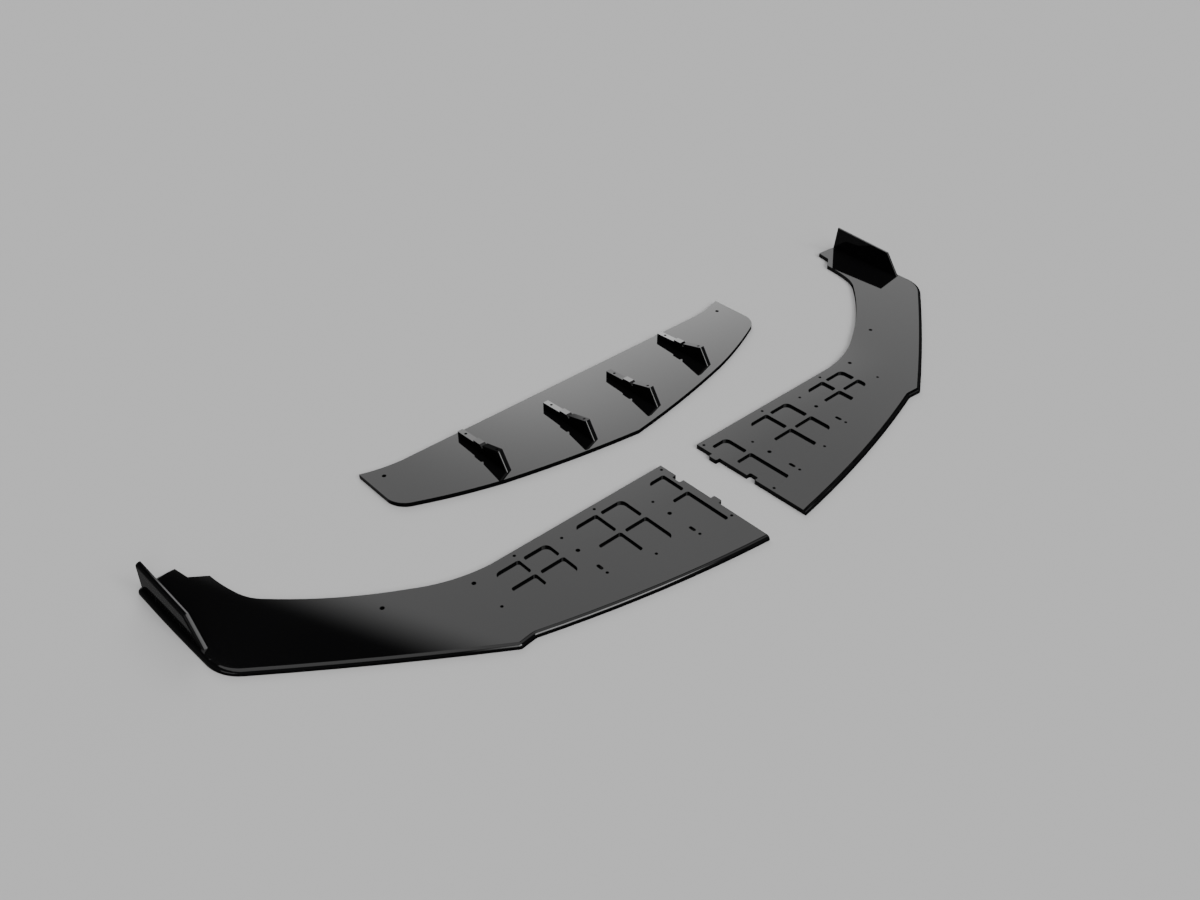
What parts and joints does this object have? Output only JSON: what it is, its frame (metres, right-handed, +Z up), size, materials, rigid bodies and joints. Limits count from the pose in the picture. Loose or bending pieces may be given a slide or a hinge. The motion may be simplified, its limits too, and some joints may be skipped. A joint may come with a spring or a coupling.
{
  "type": "front splitter lip",
  "caption": "Flat front splitter for a car laid out as a kit: two blade halves that key together, winglets at their tips and a centre plate with upright fins.",
  "frame": {"origin": "on the floor, under the middle of the whole layout's plan box", "axes": "+X across the car towards the right half (the driver facing forward has it on the right hand), +Y towards the rear of the car, +Z up out of the sheets' top faces, so the nose points along -Y"},
  "size_m": [1.8782, 0.6414, 0.067],
  "materials": {
    "blade_sheet": "high-gloss black sheet with polished faces and routed edges",
    "winglet_sheet": "high-gloss black sheet with eased outer edges",
    "fin_block": "high-gloss black, with eased front edges",
    "screws": "black-coated steel screw heads on the underside"
  },
  "bodies": {
    "root": {"left_half": "blade_sheet", "right_half": "blade_sheet", "left_winglet": "winglet_sheet", "right_winglet": "winglet_sheet", "centre_plate": "blade_sheet", "fin_outer_left": "fin_block", "fin_inner_left": "fin_block", "fin_inner_right": "fin_block", "fin_outer_right": "fin_block"}
  },
  "joints": []
}
